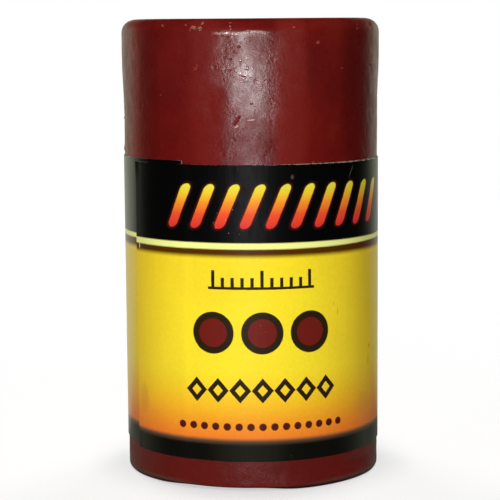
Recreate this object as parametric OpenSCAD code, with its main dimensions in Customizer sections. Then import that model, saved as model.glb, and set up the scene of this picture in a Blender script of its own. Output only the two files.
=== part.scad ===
// A short cast stick of repair wax, standing on end, with one printed label wrapped round it.
// Millimetres. +Z is up, the base stands on Z = 0 and -Y is the front.

/* [Wax stick] */
// Diameter of the cast wax
wax_diameter = 25.4; // [15:0.1:60]
// Height of the cast wax
wax_height = 45; // [36:0.5:120]
// Radius of the rounded rim at the top end
top_rim_radius = 1.3; // [0.3:0.1:4]
// Radius of the sharper rim that the stick stands on
base_rim_radius = 0.6; // [0.2:0.1:1.8]

/* [Label] */
// Height of the label, from its lower to its upper edge
label_height = 28.4; // [10:0.1:38]
// Height of the lower edge above the base, at the label's start
label_lift = 3.2; // [2.3:0.1:6]
// How far the label drops in one turn, because it was wrapped a little out of square
wrap_drop = 0.4; // [0:0.05:0.6]
// Length of the label's end that lies over its own start
overlap_length = 6.6; // [3:0.1:20]
// Length over which the label climbs onto its own start
climb_length = 1.2; // [0.8:0.1:3]
// Where the label starts, in degrees from the front, positive to the right
start_angle = -31; // [-180:1:180]
// Thickness of the printed face sheet
face_thickness = 0.08; // [0.05:0.01:0.3]
// Thickness of the adhesive film under it
adhesive_thickness = 0.02; // [0.02:0.01:0.1]

/* [Hidden] */

// Clearance between each layer and the one that it lies on
layer_gap = 0.004;
// Smoothness of the turned wax
$fn = 96;

wax_radius = wax_diameter / 2;
adhesive_radius = wax_radius + layer_gap;
face_radius = adhesive_radius + adhesive_thickness + layer_gap;
// One layer of label with its gaps, which the overlapping end is lifted by
layer_pitch = face_radius + face_thickness - wax_radius;

// The label is bent in flat facets, which line up from one layer to the next
facets_per_turn = 180;
full_turn = 360;
facet_angle = full_turn / facets_per_turn;
front_direction = -90;
total_turn = full_turn + angle_of(overlap_length, wax_radius + layer_pitch);
climb_angle = angle_of(climb_length, wax_radius);
label_stations = [for (i = [0 : ceil(total_turn / facet_angle)]) min(i * facet_angle, total_turn)];

// Angle that a length takes when it is wrapped on a radius
function angle_of(length, radius) = length / (PI * radius) * full_turn / 2;

// Smooth rise from 0 to 1
function eased(share) = share * share * (3 - 2 * share);

// How far the label stands off its first layer: nothing until it climbs, then one layer
function rise(turn) =
    layer_pitch * eased(max(0, min(1, (turn - full_turn + climb_angle) / climb_angle)));

// Radius at which a facet round a circle stays just clear of it
function facet_radius(radius, turn) = radius / cos(turn % facet_angle - facet_angle / 2);

// Height of the label's lower edge after a turn
function lower_edge(turn) = label_lift - wrap_drop * turn / full_turn;

// A point of the label, which winds clockwise seen from above
function label_point(radius, turn, height) =
    let (direction = front_direction + start_angle - turn)
    let (reach = facet_radius(radius + rise(turn), turn))
    [reach * cos(direction), reach * sin(direction), height];

// The four corners of the sheet's section at one station
function sheet_section(radius, thickness, turn) =
    let (low = lower_edge(turn))
    let (high = low + label_height)
    [
        label_point(radius, turn, low),
        label_point(radius + thickness, turn, low),
        label_point(radius + thickness, turn, high),
        label_point(radius, turn, high)
    ];

// A sheet wrapped round the wax and over its own start, on a given inner radius
module wrapped_sheet(radius, thickness) {
    sections = [for (turn = label_stations) sheet_section(radius, thickness, turn)];
    corners = len(sections[0]);
    last = len(sections) - 1;
    sides = [
        for (i = [0 : last - 1], j = [0 : corners - 1])
            let (k = (j + 1) % corners)
            [corners * i + j, corners * i + k, corners * (i + 1) + k, corners * (i + 1) + j]
    ];
    start_end = [[for (j = [corners - 1 : -1 : 0]) j]];
    outer_end = [[for (j = [0 : corners - 1]) corners * last + j]];
    polyhedron(
        points = [for (section = sections, point = section) point],
        faces = concat(sides, start_end, outer_end),
        convexity = 4
    );
}

// Half of the wax's section, with its two rims as true arcs
module wax_section() {
    square([wax_radius - top_rim_radius, wax_height]);
    square([wax_radius - base_rim_radius, wax_height - top_rim_radius]);
    translate([0, base_rim_radius])
        square([wax_radius, wax_height - base_rim_radius - top_rim_radius]);
    translate([wax_radius - top_rim_radius, wax_height - top_rim_radius])
        circle(r = top_rim_radius);
    translate([wax_radius - base_rim_radius, base_rim_radius])
        circle(r = base_rim_radius);
}

module wax_stick() {
    color("#6e1815")
        rotate_extrude()
            wax_section();
}

module label_adhesive() {
    color("#d8d2bd")
        wrapped_sheet(adhesive_radius, adhesive_thickness);
}

module label_face() {
    color("#efcb37")
        wrapped_sheet(face_radius, face_thickness);
}

wax_stick();
label_adhesive();
label_face();
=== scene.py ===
"""A short stick of red-brown repair wax in its wrapped label, dressed for a studio picture.

Metres throughout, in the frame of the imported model: +Z is up, the base stands on Z = 0 and
-Y is the front. Sizes that a maker would read off a drawing are given in millimetres.
"""
import logging
import math
import random
from contextlib import contextmanager
from dataclasses import dataclass, field
from enum import Enum
from typing import Callable, Dict, Iterator, List, Optional, Sequence, Tuple, Union

import bmesh
import bpy
from mathutils import Matrix, Vector, noise


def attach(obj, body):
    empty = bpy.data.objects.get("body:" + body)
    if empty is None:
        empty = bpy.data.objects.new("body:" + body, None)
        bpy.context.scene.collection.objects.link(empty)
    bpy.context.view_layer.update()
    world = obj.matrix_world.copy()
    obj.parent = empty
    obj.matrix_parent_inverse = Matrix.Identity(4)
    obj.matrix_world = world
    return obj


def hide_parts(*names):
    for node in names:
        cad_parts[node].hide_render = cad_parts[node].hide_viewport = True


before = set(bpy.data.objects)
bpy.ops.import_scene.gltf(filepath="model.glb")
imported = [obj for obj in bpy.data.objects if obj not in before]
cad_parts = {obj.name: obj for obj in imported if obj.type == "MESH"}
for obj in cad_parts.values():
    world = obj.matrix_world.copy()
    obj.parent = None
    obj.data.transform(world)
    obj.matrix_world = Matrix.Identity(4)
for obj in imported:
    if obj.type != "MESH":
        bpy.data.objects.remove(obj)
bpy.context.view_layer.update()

LOG = logging.getLogger("wax_stick")

BODY = "root"
MM = 0.001
MM_PER_M = 1000.0
FULL_TURN = 360.0
LEVEL_SLACK = 1e-6
WHITE = (1.0, 1.0, 1.0, 1.0)

Pair = Tuple[float, float]
Triple = Tuple[float, float, float]
Colour = Tuple[float, float, float, float]
Number = Union[float, "Wire"]


# Shader maths


class Wire:
    """One output of a shader node, on which a Python sum adds the Math nodes that it needs."""

    def __init__(self, tree: "Tree", socket: bpy.types.NodeSocket) -> None:
        """Keeps the tree and the output socket.

        Args:
            tree: The shader tree that holds the node.
            socket: The output that this wire starts at.
        """
        self.tree = tree
        self.socket = socket

    def __add__(self, other: Number) -> "Wire":
        """Self plus other."""
        return self.tree.maths("ADD", self, other)

    def __radd__(self, other: Number) -> "Wire":
        """Other plus self."""
        return self.tree.maths("ADD", other, self)

    def __sub__(self, other: Number) -> "Wire":
        """Self less other."""
        return self.tree.maths("SUBTRACT", self, other)

    def __rsub__(self, other: Number) -> "Wire":
        """Other less self."""
        return self.tree.maths("SUBTRACT", other, self)

    def __mul__(self, other: Number) -> "Wire":
        """Self times other."""
        return self.tree.maths("MULTIPLY", self, other)

    def __rmul__(self, other: Number) -> "Wire":
        """Other times self."""
        return self.tree.maths("MULTIPLY", other, self)

    def __abs__(self) -> "Wire":
        """The size of self, without its sign."""
        return self.tree.maths("ABSOLUTE", self)


class Tree:
    """The shader nodes of one material or of the world."""

    def __init__(self, holder: Union[bpy.types.Material, bpy.types.World]) -> None:
        """Empties the holder's node tree.

        Args:
            holder: The material or world whose nodes are made here.
        """
        holder.use_nodes = True
        self.nodes = holder.node_tree.nodes
        self.links = holder.node_tree.links
        self.nodes.clear()

    def feed(self, socket: bpy.types.NodeSocket, value: object) -> None:
        """Links a wire to a socket, or sets the socket's own value.

        Args:
            socket: The input to fill.
            value: A wire, a number, a vector or a colour.
        """
        if isinstance(value, Wire):
            self.links.new(value.socket, socket)
        else:
            socket.default_value = value

    def node(
        self,
        kind: str,
        settings: Optional[Dict[str, object]] = None,
        inputs: Optional[Dict[Union[str, int], object]] = None,
    ) -> bpy.types.Node:
        """Adds a node, sets it, and then fills its inputs.

        Args:
            kind: The node's type, such as ShaderNodeTexNoise.
            settings: Its properties; stops holds the places and colours of a ramp.
            inputs: Values or wires by the name or number of the input.

        Returns:
            The new node.
        """
        made = self.nodes.new(kind)
        for name, value in (settings or {}).items():
            if name == "stops":
                self.set_stops(made, value)
            else:
                setattr(made, name, value)
        for key, value in (inputs or {}).items():
            self.feed(made.inputs[key], value)
        return made

    @staticmethod
    def set_stops(ramp: bpy.types.Node, stops: Sequence[Tuple[float, Colour]]) -> None:
        """Fills a colour ramp.

        Args:
            ramp: The ramp's node.
            stops: The place and colour of each stop, in order.
        """
        elements = ramp.color_ramp.elements
        while len(elements) > 1:
            elements.remove(elements[-1])
        elements[0].position, elements[0].color = stops[0]
        for place, colour in stops[1:]:
            elements.new(place).color = colour

    def wire(self, node: bpy.types.Node, output: Union[str, int] = 0) -> Wire:
        """One output of a node as a wire."""
        return Wire(self, node.outputs[output])

    def maths(self, operation: str, first: Number, second: Number = 0.0) -> Wire:
        """One Math node's result."""
        node = self.node("ShaderNodeMath", {"operation": operation}, {0: first, 1: second})
        return self.wire(node)

    def rise(self, value: Number, low: float, high: float) -> Wire:
        """A smooth step from 0 at low to 1 at high.

        Args:
            value: What the step follows.
            low: Where it starts.
            high: Where it ends, which may lie below low for a step that falls.

        Returns:
            The step.
        """
        settings = {"interpolation_type": "SMOOTHSTEP"}
        if high > low:
            inputs = {"Value": value, "From Min": low, "From Max": high}
        else:
            inputs = {"Value": value, "From Min": high, "From Max": low, "To Min": 1.0, "To Max": 0.0}
        return self.wire(self.node("ShaderNodeMapRange", settings, inputs))

    def mix(self, share: Number, first: object, second: object, blend: str = "MIX") -> Wire:
        """First and second colour mixed.

        Args:
            share: How much of the second shows.
            first: The colour underneath.
            second: The colour on top.
            blend: The way that the second is laid on.

        Returns:
            The mixed colour.
        """
        settings = {"data_type": "RGBA", "blend_type": blend}
        node = self.node("ShaderNodeMix", settings, {0: share, 6: first, 7: second})
        return self.wire(node, 2)

    def vector(self, operation: str, first: object, second: object) -> Wire:
        """One Vector Math node's result."""
        settings = {"operation": operation}
        return self.wire(self.node("ShaderNodeVectorMath", settings, {0: first, 1: second}))

    def join(self, x: Number, y: Number, z: Number) -> Wire:
        """Three numbers as a vector."""
        return self.wire(self.node("ShaderNodeCombineXYZ", inputs={0: x, 1: y, 2: z}))

    def split(self, vector: Wire) -> Tuple[Wire, Wire, Wire]:
        """A vector's three numbers."""
        node = self.node("ShaderNodeSeparateXYZ", inputs={0: vector})
        return self.wire(node, 0), self.wire(node, 1), self.wire(node, 2)

    def grain(self, place: Wire, per_mm: float, detail: float = 3.0, rough: float = 0.5) -> Wire:
        """Cloudy noise from 0 to 1.

        Args:
            place: Where it is read, in millimetres.
            per_mm: How many clouds lie in a millimetre.
            detail: How many finer layers it has.
            rough: How strong those are.

        Returns:
            The noise.
        """
        inputs = {"Vector": place, "Scale": per_mm, "Detail": detail, "Roughness": rough}
        return self.wire(self.node("ShaderNodeTexNoise", {"noise_dimensions": "3D"}, inputs))

    def cells(self, place: Wire, per_mm: float) -> Wire:
        """Distance to the nearest of points strewn per_mm to the millimetre."""
        inputs = {"Vector": place, "Scale": per_mm}
        return self.wire(self.node("ShaderNodeTexVoronoi", {"feature": "F1"}, inputs))

    def bump(self, height: Wire, depth_mm: float, under: Optional[Wire] = None) -> Wire:
        """A normal that stands for relief.

        Args:
            height: The relief, from 0 to 1.
            depth_mm: What 1 stands for.
            under: The normal of coarser relief below.

        Returns:
            The normal.
        """
        inputs = {"Strength": 1.0, "Distance": depth_mm * MM, "Height": height}
        if under is not None:
            inputs["Normal"] = under
        return self.wire(self.node("ShaderNodeBump", inputs=inputs))

    def point(self) -> Wire:
        """The place on the piece, in metres."""
        return self.wire(self.node("ShaderNodeTexCoord"), "Object")

    def length(self, across: Wire, up: Wire) -> Wire:
        """The length of a slope, from its two legs."""
        return self.maths("SQRT", across * across + up * up)

    def within(self, value: Wire, start: float, end: float) -> Wire:
        """1 between two values and 0 beyond them."""
        return self.rise(value, start, start + 0.01) * self.rise(value, end, end - 0.01)

    def off_middle(self, value: Wire, start: float, pitch: float) -> Wire:
        """The distance from the middle of the nearest of cells that repeat at a pitch."""
        return (self.maths("FRACT", (value - start) * (1.0 / pitch)) - 0.5) * pitch

    def ramp(self, share: Wire, stops: Sequence[Tuple[float, Colour]]) -> Wire:
        """A colour that runs through the stops as a share goes from 0 to 1."""
        return self.wire(self.node("ShaderNodeValToRGB", {"stops": stops}, {0: share}))

    def principled(self, inputs: Dict[Union[str, int], object]) -> Wire:
        """A Principled shader with these inputs."""
        return self.wire(self.node("ShaderNodeBsdfPrincipled", inputs=inputs))

    def emission(self, colour: Colour, strength: Number) -> Wire:
        """A shader that only gives off light."""
        return self.wire(self.node("ShaderNodeEmission", inputs={"Color": colour, "Strength": strength}))

    def blend(self, share: Wire, first: Wire, second: Wire) -> Wire:
        """Two shaders mixed, with a share of the second."""
        return self.wire(self.node("ShaderNodeMixShader", inputs={0: share, 1: first, 2: second}))

    def finish(self, shader: Wire) -> None:
        """Links the shader to the material's surface."""
        self.node("ShaderNodeOutputMaterial", inputs={"Surface": shader})


def new_material(name: str) -> Tuple[bpy.types.Material, Tree]:
    """A new material and its tree, which is still empty."""
    made = bpy.data.materials.new(name)
    return made, Tree(made)


# Finishes


@dataclass(frozen=True)
class Spot:
    """One mark on a surface that is measured across and up, in millimetres."""

    across: float
    up: float
    half_width: float
    half_height: float
    strength: float = 1.0
    lean: float = 0.0

    def mask(self, tree: Tree, across: Wire, up: Wire) -> Wire:
        """The mark's mask, full in the middle and soft at its edge.

        Args:
            tree: The tree that it goes into.
            across: The place across.
            up: The place up.

        Returns:
            A mask from 0 to the mark's strength.
        """
        side, rise = across - self.across, up - self.up
        if self.lean:
            cosine, sine = math.cos(math.radians(self.lean)), math.sin(math.radians(self.lean))
            side, rise = side * cosine + rise * sine, rise * cosine - side * sine
        side, rise = side * (1.0 / self.half_width), rise * (1.0 / self.half_height)
        return tree.rise(side * side + rise * rise, 1.0, 0.15) * self.strength

    @staticmethod
    def together(tree: Tree, spots: Sequence["Spot"], across: Wire, up: Wire) -> Number:
        """The masks of several marks as one.

        Args:
            tree: The tree that they go into.
            spots: The marks.
            across: The place across.
            up: The place up.

        Returns:
            The strongest of their masks, or 0 where there are no marks.
        """
        mask: Number = 0.0
        for spot in spots:
            mask = tree.maths("MAXIMUM", mask, spot.mask(tree, across, up))
        return mask


@dataclass(frozen=True)
class WaxFinish:
    """Cast red-brown wax: a soft gloss, cloudy colour, fine pits and the haze of handling.

    Places on its front are in millimetres to the right of the axis and above the base. In front
    the wax is dullest by the label, where hands hold it, and polished along the ragged crease
    under its rim and at a few nicks. Hollows carry painted shade. The lips of its scrapes and the
    crease are pale torn wax, brightened as a painted highlight, and a few small painted glints lie
    on the front. The front's sides and foot carry painted shade, and a few upright bands painted
    light. Dust clings to the base rim, where it also stands in for a painted reflection of the floor,
    and the base's lowest edge is painted dark as contact shade.
    """

    name: str = "wax_red_brown"
    body: Colour = (0.142, 0.0068, 0.0052, 1.0)
    deep: Colour = (0.120, 0.0054, 0.0044, 1.0)
    warm: Colour = (0.154, 0.0092, 0.0054, 1.0)
    # light is the colour of painted light, and shadow below is that of painted shade.
    light: Colour = (0.186, 0.0135, 0.0100, 1.0)
    shadow: Colour = (0.086, 0.0040, 0.0036, 1.0)
    bloom: Colour = (0.300, 0.0900, 0.0800, 1.0)
    # Pale torn wax, brightened as a painted highlight, for the lips of scrapes and the crease.
    torn_wax_and_highlight: Colour = (0.600, 0.3600, 0.3400, 1.0)
    # Near-white colour of the painted glints.
    painted_glint: Colour = (0.950, 0.8600, 0.8500, 1.0)
    # Grey-brown of dust on the base rim, which also stands in for a painted reflection of the floor.
    dusty: Colour = (0.085, 0.0480, 0.0360, 1.0)
    # Near-black of the painted contact shade at the base.
    painted_contact_shade: Colour = (0.012, 0.0050, 0.0045, 1.0)
    clouds_per_mm: float = 0.22
    roughness: float = 0.23
    haze_roughness: float = 0.09
    crease_height: float = 43.50
    crease_arch: float = 0.16
    polish: float = 0.18
    held: float = 0.67
    nicks: Tuple[Spot, ...] = (
        Spot(-0.92, 39.77, 0.26, 0.12, 1.0, -25.0),
        Spot(-0.42, 39.62, 0.28, 0.10, 1.0, 5.0),
        Spot(-0.62, 39.32, 0.44, 0.09, 0.7),
        Spot(-0.29, 41.10, 0.11, 0.11),
        Spot(-0.89, 40.98, 0.18, 0.13),
        Spot(0.18, 40.14, 0.24, 0.11, 0.6, 65.0),
        Spot(-0.24, 42.86, 0.38, 0.09, 0.7, -17.0),
        Spot(-0.55, 40.45, 0.55, 0.30, 0.4, -60.0),
        Spot(-0.60, 39.80, 1.35, 1.00, 0.50),
    )
    # Painted glints: small near-white spots that stand in for highlights.
    painted_glints: Tuple[Spot, ...] = (
        Spot(-2.17, 43.53, 0.15, 0.13),
        Spot(-1.30, 43.40, 0.20, 0.11, 0.35),
        Spot(-1.66, 43.14, 0.16, 0.14, 0.16, 30.0),
        Spot(-0.96, 39.80, 0.24, 0.12, 0.55, -25.0),
        Spot(-0.46, 39.68, 0.26, 0.10, 0.35, 5.0),
        Spot(-0.36, 41.14, 0.12, 0.12, 0.30),
        Spot(-0.96, 41.05, 0.17, 0.16, 0.14),
    )
    smears: Tuple[Spot, ...] = (
        Spot(0.55, 42.2, 1.25, 1.9, 0.58),
        Spot(-1.75, 42.4, 1.20, 1.3, 0.30),
        Spot(-3.0, 36.6, 1.30, 2.8, 0.80),
    )
    hollows: Tuple[Spot, ...] = (
        Spot(-1.33, 35.43, 0.66, 0.19, 1.0, 50.5),
        Spot(-0.66, 39.49, 0.26, 0.07, 0.7),
        Spot(-1.05, 42.25, 0.19, 0.14, 0.7, 15.0),
        Spot(-2.59, 43.29, 0.18, 0.12, 0.7),
        Spot(-2.10, 43.10, 0.14, 0.18, 0.7),
        Spot(-1.80, 43.50, 0.15, 0.15),
        Spot(-2.37, 41.29, 0.18, 0.13, 0.8, -20.0),
        Spot(-1.86, 41.11, 0.16, 0.14, 0.9, -20.0),
        Spot(-1.45, 41.75, 0.26, 0.10, 0.5, -25.0),
        Spot(-2.00, 40.05, 0.22, 0.14, 0.6),
        Spot(2.35, 38.10, 0.16, 0.14, 0.5),
        Spot(0.10, 36.95, 0.16, 0.12, 0.5),
    )
    lips: Tuple[Spot, ...] = (
        Spot(-1.33, 34.84, 0.40, 0.11, 0.75, 30.0),
        Spot(0.03, 35.45, 0.50, 0.09, 1.0, 3.0),
    )
    # Painted shade: the front's sides, and its foot, are painted darker.
    sides: Tuple[Spot, ...] = (
        Spot(10.3, 37.0, 2.3, 12.0, 0.60),
        Spot(-9.75, 37.0, 1.25, 14.0, 0.50),
        Spot(-3.0, 0.0, 16.0, 5.5, 0.45),
    )
    # Painted light: lighter upright bands on the front, one at the left edge.
    painted_light_spots: Tuple[Spot, ...] = (
        Spot(-11.35, 37.0, 0.80, 16.0, 0.55),
        Spot(-4.1, 37.5, 2.0, 14.0, 0.50),
        Spot(3.75, 37.5, 2.1, 14.0, 0.85),
    )
    ior: float = 1.40
    dull_ior: float = 1.02
    glow: float = 0.12
    glow_tint: Triple = (1.0, 0.18, 0.12)
    glow_depth: float = 0.0008

    def material(self) -> bpy.types.Material:
        """The wax's material.

        Returns:
            The new material.
        """
        made, tree = new_material(self.name)
        place = tree.vector("MULTIPLY", tree.point(), (MM_PER_M,) * 3)
        x, y, z = tree.split(place)
        front = tree.rise(y, 0.0, -1.0)
        clouds = tree.grain(place, self.clouds_per_mm, 3.0, 0.55)
        smears = tree.grain(tree.vector("MULTIPLY", place, (1.0, 1.0, 0.75)), 0.9, 4.0, 0.6)
        fine = tree.grain(place, 3.2, 4.0, 0.6)
        grit = tree.grain(place, 7.0, 2.0)
        colour = tree.mix(tree.rise(clouds, 0.42, 0.66), self.body, self.deep)
        colour = tree.mix(tree.rise(clouds, 0.42, 0.30), colour, self.warm)
        colour = tree.mix(tree.rise(smears, 0.60, 0.82) * 0.25, colour, self.warm)
        # Painted shade at the front's sides and towards the foot.
        colour = tree.mix(Spot.together(tree, self.sides, x, z) * front, colour, self.shadow)
        # Painted light: lighter bands on the front.
        colour = tree.mix(Spot.together(tree, self.painted_light_spots, x, z) * front, colour, self.light)
        specks = tree.rise(tree.cells(place, 1.1), 0.075, 0.02) * tree.rise(fine, 0.46, 0.56)
        colour = tree.mix(specks * 0.5, colour, self.bloom)
        hollow, lip, nick = (
            Spot.together(tree, spots, x, z) * front for spots in (self.hollows, self.lips, self.nicks)
        )
        # Painted shade in the hollows.
        colour = tree.mix(hollow * 0.7, colour, self.deep)
        # The scrapes' lips are pale torn wax, brightened as a painted highlight.
        colour = tree.mix(lip * tree.rise(grit, 0.25, 0.45), colour, self.torn_wax_and_highlight)
        crease = self.crease(tree, x, z, fine, grit) * front
        # The crease is painted pale as a painted highlight, besides its polish.
        colour = tree.mix(crease * 0.6, colour, self.torn_wax_and_highlight)
        # Painted glints on the front.
        colour = tree.mix(Spot.together(tree, self.painted_glints, x, z) * front, colour, self.painted_glint)
        # Dust on the base rim, mostly at the sides, together with a painted reflection of the floor; the low
        # foot is tinted a little too.
        dusty = tree.rise(z, 0.9, 0.3) * (tree.rise(abs(x), 4.0, 9.0) * 0.55 + 0.15)
        dusty = tree.maths("MAXIMUM", dusty, tree.rise(z, 5.0, 3.5) * 0.09)
        colour = tree.mix(dusty, colour, self.dusty)
        # Painted contact shade: the base's lowest fraction of a millimetre is painted almost black.
        colour = tree.mix(tree.rise(z, 0.42, 0.22) * 0.95, colour, self.painted_contact_shade)
        roughness = tree.rise(smears, 0.36, 0.66) * self.haze_roughness + grit * 0.10 + self.roughness
        roughness = roughness + hollow * 0.25 - tree.maths("MAXIMUM", nick, crease) * self.polish
        pits = tree.rise(tree.cells(place, 0.55), 0.02, 0.16)
        leaning = tree.join(x * 0.27 - z * 0.13, y * 0.3, x * 0.42 + z * 0.91)
        streaks = tree.grain(leaning, 1.6, 3.0, 0.6)
        swell = tree.bump(clouds * 0.5 + smears * 0.5, 0.085)
        relief = tree.bump(fine * 0.5 + grit * 0.3 + streaks * 0.5, 0.034, swell)
        marks = tree.bump(nick * 0.5 + lip * 0.5 + crease * 0.12 - hollow * 0.8, 0.045, relief)
        normal = tree.bump(pits, 0.02, marks)
        inputs = {
            "Base Color": colour,
            "Roughness": roughness,
            "Subsurface Weight": self.glow,
            "Subsurface Radius": self.glow_tint,
            "Subsurface Scale": self.glow_depth,
            "Normal": normal,
        }
        glossy, dull = (tree.principled({**inputs, "IOR": ior}) for ior in (self.ior, self.dull_ior))
        tree.finish(tree.blend(self.dulled(tree, x, z) * front, glossy, dull))
        return made

    def dulled(self, tree: Tree, x: Wire, z: Wire) -> Wire:
        """How far handling has taken the shine off the front.

        Args:
            tree: The wax's tree.
            x: The place to the right.
            z: The height.

        Returns:
            The share, from 0 to 1.
        """
        held = tree.rise(z, 39.6, 33.9) * self.held + tree.rise(z, 6.0, 4.0) * 0.08
        share = tree.maths("MAXIMUM", held, Spot.together(tree, self.smears, x, z))
        return share * (tree.rise(abs(x), 10.5, 8.0) * 0.65 + 0.35)

    def crease(self, tree: Tree, x: Wire, z: Wire, fine: Wire, grit: Wire) -> Wire:
        """The mask of the ragged crease under the rim, which arches up a little in front.

        Args:
            tree: The wax's tree.
            x: The place to the right.
            z: The height.
            fine: Fine noise.
            grit: Finer noise.

        Returns:
            The mask.
        """
        arch = tree.rise(abs(x - 0.25), 1.5, 0.2) * self.crease_arch
        off = abs(z - arch - self.crease_height + (fine - 0.5) * 0.22)
        along = tree.rise(abs(x + 0.9), 2.85, 1.9)
        return tree.rise(off, 0.18, 0.03) * tree.rise(grit, 0.34, 0.52) * along


@dataclass(frozen=True)
class PrintFinish:
    """The printed and varnished face of the label.

    The print is measured in millimetres: across from the sheet's outer end, and up from its
    lower edge. Black bands close it above and below a yellow field that turns orange at its foot.
    """

    length: float
    height: float
    name: str = "label_print"
    black: Colour = (0.0018, 0.0018, 0.0018, 1.0)
    line: Colour = (0.97, 0.99, 0.31, 1.0)
    shade: Colour = (0.088, 0.027, 0.001, 1.0)
    brown: Colour = (0.104, 0.062, 0.036, 1.0)
    ink: Colour = (0.024, 0.014, 0.005, 1.0)
    maroon: Colour = (0.085, 0.010, 0.006, 1.0)
    chip: Colour = (0.160, 0.013, 0.009, 1.0)
    dust: Colour = (0.42, 0.43, 0.42, 1.0)
    smudge: Colour = (0.44, 0.29, 0.26, 1.0)
    stain: Colour = (0.52, 0.17, 0.04, 1.0)
    smear: Colour = (0.78, 0.16, 0.03, 1.0)
    # haze is a painted highlight on the lower black band; sooty is that band's dark grey.
    haze: Colour = (0.0096, 0.0090, 0.0052, 1.0)
    sooty: Colour = (0.0045, 0.0043, 0.0028, 1.0)
    front: float = 13.5
    line_bottom: float = 20.46
    line_top: float = 21.03
    soft: float = 0.05
    ior: float = 1.11
    roughness: float = 0.36
    sheen: float = 0.9
    sheen_roughness: float = 0.28

    def ground(self, tree: Tree, up: Wire) -> Wire:
        """The field's colour, which turns from orange at its foot to yellow.

        Args:
            tree: The print's tree.
            up: The place up.

        Returns:
            The colour.
        """
        stops = [
            (2.0, (0.865, 0.195, 0.024, 1.0)),
            (2.8, (0.880, 0.245, 0.022, 1.0)),
            (4.2, (0.900, 0.365, 0.020, 1.0)),
            (5.4, (0.925, 0.500, 0.020, 1.0)),
            (6.8, (0.945, 0.620, 0.024, 1.0)),
            (8.8, (0.965, 0.735, 0.028, 1.0)),
            (15.5, (0.975, 0.745, 0.026, 1.0)),
            (19.3, (0.975, 0.730, 0.024, 1.0)),
        ]
        shares = [(place / self.height, colour) for place, colour in stops]
        return tree.ramp(up * (1.0 / self.height), shares)

    def flame_bars(self, tree: Tree, across: Wire, up: Wire, colour: Wire) -> Wire:
        """A row of leaning bars in the upper black band, yellow at the top and red below.

        Args:
            tree: The print's tree.
            across: The place across.
            up: The place up.
            colour: The colour underneath.

        Returns:
            The colour with the bars on it.
        """
        start, end, pitch = 4.2, 28.6, 2.44
        foot, head, half = 22.4, 26.6, 0.51
        leaned = across - (up - foot) * 0.42
        beside = tree.off_middle(leaned, start, pitch)
        middle = (foot + head) / 2.0
        beyond = tree.maths("MAXIMUM", abs(up - middle) - ((head - foot) / 2.0 - half), 0.0)
        reach = tree.length(beside, beyond)
        inside = tree.within(leaned, start, end)
        glow = tree.rise(reach, half + 0.34, half) * inside
        bar = tree.rise(reach, half + self.soft, half - self.soft) * inside
        stops = [
            (0.00, (0.72, 0.030, 0.030, 1.0)),
            (0.32, (0.86, 0.090, 0.025, 1.0)),
            (0.58, (0.92, 0.300, 0.022, 1.0)),
            (0.80, (0.88, 0.620, 0.030, 1.0)),
            (1.00, (0.80, 0.800, 0.060, 1.0)),
        ]
        flame = tree.ramp((up - foot) * (1.0 / (head - foot)), stops)
        colour = tree.mix(glow * 0.75, colour, (0.070, 0.006, 0.006, 1.0))
        return tree.mix(bar, colour, flame)

    def scale_marks(self, tree: Tree, across: Wire, up: Wire) -> Wire:
        """The mask of a plain graduated scale below the line: a rule with upright marks on it.

        Args:
            tree: The print's tree.
            across: The place across.
            up: The place up.

        Returns:
            The mask.
        """
        start, pitch, count = 9.27, 0.94, 11
        end = start + pitch * count
        span = tree.rise(across, start - 0.02, start) * tree.rise(across, end + 0.02, end)
        rule = tree.rise(abs(up - 16.75), 0.16, 0.10)
        cell = (across - start) * (1.0 / pitch)
        beside = abs(tree.maths("FRACT", cell) - 0.5) * pitch
        long_cell = abs(tree.maths("FRACT", (cell - 0.5) * 0.2 + 0.5) - 0.5)
        top = tree.rise(long_cell, 0.11, 0.09) * 0.7 + 17.75
        above = tree.rise(up, 16.7, 16.8) * tree.rise(up - top, 0.04, -0.04)
        marks = tree.rise(beside, 0.19, 0.13) * above
        return tree.maths("MAXIMUM", rule, marks) * span

    def chips(self, tree: Tree, across: Wire, up: Wire, colour: Wire) -> Wire:
        """Three round chips in the wax's own colour, each in a dark ring.

        Args:
            tree: The print's tree.
            across: The place across.
            up: The place up.
            colour: The colour underneath.

        Returns:
            The colour with the chips on it.
        """
        middle, pitch, count = 14.45, 4.75, 3
        start = middle - pitch * count / 2.0
        end = start + pitch * count
        beside = tree.off_middle(across, start, pitch)
        above = up - 12.45
        reach = tree.length(beside, above)
        inside = tree.within(across, start, end)
        colour = tree.mix(tree.rise(reach, 2.06, 1.98) * inside, colour, self.ink)
        return tree.mix(tree.rise(reach, 1.42, 1.34) * inside, colour, self.chip)

    def lozenges(self, tree: Tree, across: Wire, up: Wire) -> Wire:
        """The mask of a row of dark lozenges below the chips.

        Args:
            tree: The print's tree.
            across: The place across.
            up: The place up.

        Returns:
            The mask.
        """
        middle, pitch, count = 14.45, 2.15, 7
        start = middle - pitch * count / 2.0
        end = start + pitch * count
        beside = abs(tree.off_middle(across, start, pitch))
        slope = beside * 1.15 + abs(up - 6.9)
        inside = tree.within(across, start, end)
        outer = tree.rise(slope, 1.24, 1.18)
        inner = tree.rise(slope, 0.52, 0.58)
        return outer * inner * inside

    def dots(self, tree: Tree, across: Wire, up: Wire) -> Wire:
        """The mask of a row of small dots at the foot of the field.

        Args:
            tree: The print's tree.
            across: The place across.
            up: The place up.

        Returns:
            The mask.
        """
        start, pitch, count = 5.9, 1.14, 15
        end = start + pitch * count
        beside = tree.off_middle(across, start, pitch)
        above = up - 3.38
        reach = tree.length(beside, above)
        inside = tree.within(across, start, end)
        return tree.rise(reach, 0.41, 0.32) * inside

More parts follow.
